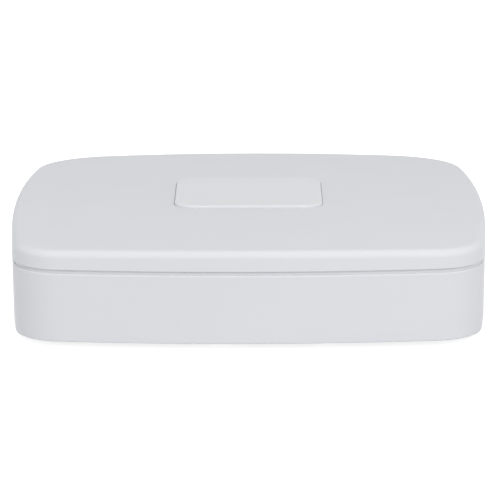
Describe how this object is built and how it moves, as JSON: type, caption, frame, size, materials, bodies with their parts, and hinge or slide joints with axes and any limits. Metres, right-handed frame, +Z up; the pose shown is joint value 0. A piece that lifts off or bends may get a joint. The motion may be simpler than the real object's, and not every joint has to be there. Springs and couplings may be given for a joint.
{
  "type": "network video recorder",
  "caption": "Low, nearly square network video recorder with bowed sides, round corners, a crowned lift-off cover, a blank raised plate and recessed rear sockets.",
  "frame": {"origin": "on the surface the feet stand on, under the middle of the case", "axes": "+Z up through the roof, -Y out of the front face, +Y out of the socket recess, +X to the right seen from the front"},
  "size_m": [0.205, 0.205, 0.0456],
  "materials": {
    "case_plastic": "satin moulded plastic, pale cool grey",
    "plate_plastic": "satin moulded plastic",
    "rubber": "matt",
    "screw_steel": "zinc plated",
    "panel_metal": "black powder coat",
    "socket_metal": "bright nickel",
    "black_plastic": "moulded",
    "blue_plastic": "moulded",
    "contact_gold": "plated",
    "board_green": "solder resist",
    "chip_black": "epoxy",
    "pad_grey": "soft",
    "heatsink_aluminium": "anodised",
    "can_sleeve": "shrink sleeve",
    "ferrite": "sintered",
    "cell_steel": "bright",
    "lead_red": "flexible jacket",
    "lead_black": "flexible jacket",
    "cast_aluminium": "cast, dark",
    "lid_steel": "pressed",
    "label_white": "foil label, blank",
    "platter_mirror": "polished",
    "coil_copper": "enamelled wire",
    "ramp_plastic": "moulded"
  },
  "bodies": {
    "root": {"bottom_case": "case_plastic", "rubber_feet": "rubber", "cover_screws": "screw_steel", "rear_panel": "panel_metal", "ground_screw": "screw_steel", "power_jack": "black_plastic", "power_jack_pin": "socket_metal", "vga_shell": "socket_metal", "vga_insert": "blue_plastic", "vga_jackscrews": "screw_steel", "hdmi_shell": "socket_metal", "hdmi_tongue": "black_plastic", "lan_port": "socket_metal", "lan_contacts": "contact_gold", "usb_shell": "socket_metal", "usb_tongues": "black_plastic", "mainboard": "board_green", "mainboard_screws": "screw_steel", "processor": "chip_black", "thermal_pad": "pad_grey", "heatsink": "heatsink_aluminium", "heatsink_pins": "black_plastic", "memory_chips": "chip_black", "network_transformer": "chip_black", "power_inductors": "ferrite", "capacitors": "can_sleeve", "surface_parts": "chip_black", "battery_holder": "black_plastic", "clock_battery": "cell_steel", "buzzer": "black_plastic", "data_header": "black_plastic", "power_header": "label_white", "data_plugs": "black_plastic", "power_plugs": "label_white", "data_lead": "lead_red", "power_lead": "lead_black", "drive_screws": "screw_steel", "drive_connector": "black_plastic", "drive_chassis": "cast_aluminium", "drive_lid": "lid_steel", "drive_label": "label_white", "drive_circuit_board": "board_green", "drive_shafts": "screw_steel", "magnet_yoke": "cell_steel", "parking_ramp": "ramp_plastic"},
    "cover": {"top_cover": "case_plastic", "name_plate": "plate_plastic"},
    "spindle": {"spindle_hub": "heatsink_aluminium", "platter": "platter_mirror", "platter_clamp": "lid_steel"},
    "head_arms": {"actuator_arms": "heatsink_aluminium", "voice_coil": "coil_copper"}
  },
  "joints": [
    {"name": "cover_lift", "type": "slide", "parent": "root", "child": "cover", "axis": [0, 0, 1], "range_m": [0, 0.06]},
    {"name": "platter_spin", "type": "hinge", "parent": "root", "child": "spindle", "pos_m": [-0.0227, -0.0413, 0.0185], "axis": [0, 0, 1], "continuous": true},
    {"name": "arm_swing", "type": "hinge", "parent": "root", "child": "head_arms", "pos_m": [0.0301, -0.0613, 0.0185], "axis": [0, 0, 1], "range_deg": [0, 35]}
  ]
}
